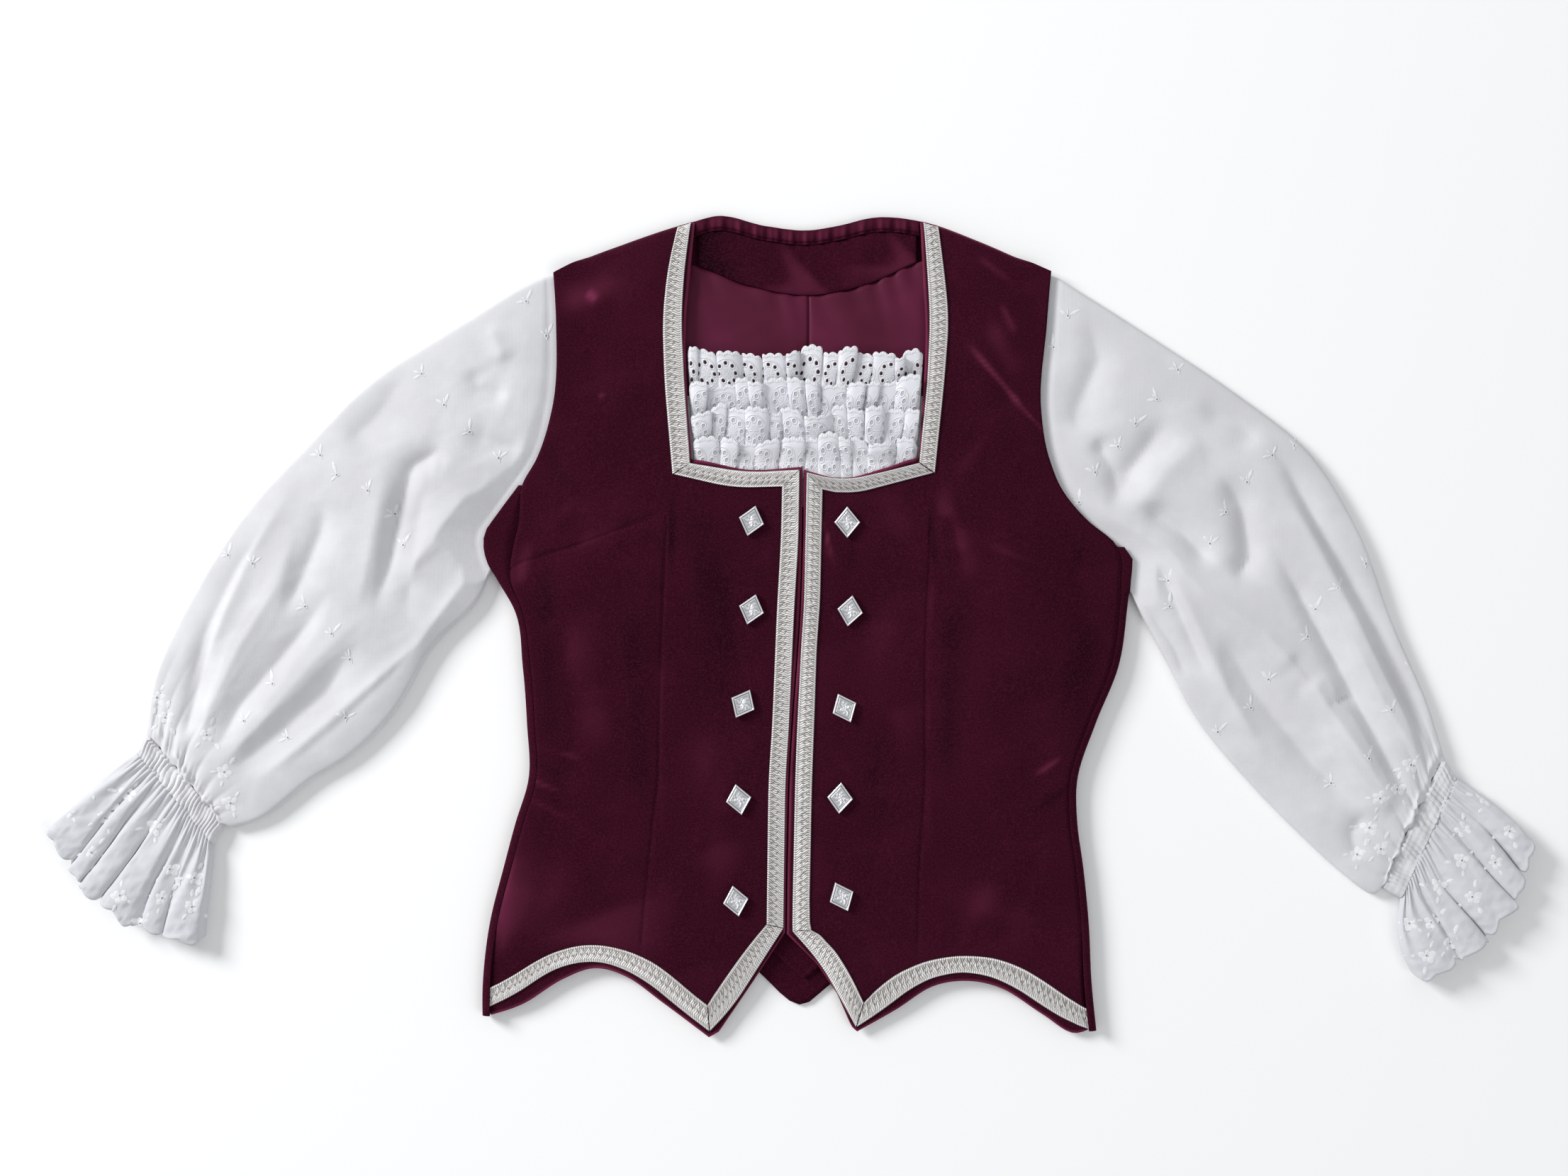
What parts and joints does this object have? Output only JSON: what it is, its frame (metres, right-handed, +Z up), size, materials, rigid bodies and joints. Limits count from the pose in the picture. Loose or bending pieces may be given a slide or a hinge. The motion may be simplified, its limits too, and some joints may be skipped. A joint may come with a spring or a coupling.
{
  "type": "velvet dance waistcoat with blouse sleeves and lace front",
  "caption": "Fitted velvet dance waistcoat with metal braid and lozenge buttons, white eyelet blouse sleeves with elastic cuffs and frills, and a tiered lace front, laid flat.",
  "frame": {"origin": "middle of the bounding box at the height of the surface that the garment lies on", "axes": "+X across the garment, to the right as seen from above; +Y from the hem to the neck; +Z up from the surface, out of the front"},
  "size_m": [1.0367, 0.5771, 0.0179],
  "materials": {
    "velvet": "cut pile velvet, dark burgundy with a rosy sheen",
    "satin": "burgundy satin lining",
    "cotton": "white cotton lawn with embroidered sprigs",
    "lace": "white eyelet embroidery with a scalloped edge",
    "braid": "silver metal thread braid, satin",
    "button": "bright silver plate, darkened in the relief"
  },
  "bodies": {
    "root": {"back": "velvet", "back_hem_tab": "velvet", "neck_band": "velvet", "neck_facing": "velvet", "back_lining_left": "satin", "back_lining_right": "satin", "front_left": "velvet", "front_right": "velvet", "lace_backing": "cotton", "lace_tier_1": "lace", "lace_tier_2": "lace", "lace_tier_3": "lace", "lace_tier_4": "lace", "sleeve_left": "cotton", "sleeve_right": "cotton", "cuff_left": "cotton", "cuff_right": "cotton", "frill_left": "lace", "frill_right": "lace", "braid_left_neck_side": "braid", "braid_left_neck_foot": "braid", "braid_left_centre": "braid", "braid_left_slant": "braid", "braid_left_scallop": "braid", "braid_right_neck_side": "braid", "braid_right_neck_foot": "braid", "braid_right_centre": "braid", "braid_right_slant": "braid", "braid_right_scallop": "braid", "button_left_1": "button", "button_left_2": "button", "button_left_3": "button", "button_left_4": "button", "button_left_5": "button", "button_right_1": "button", "button_right_2": "button", "button_right_3": "button", "button_right_4": "button", "button_right_5": "button"}
  },
  "joints": []
}
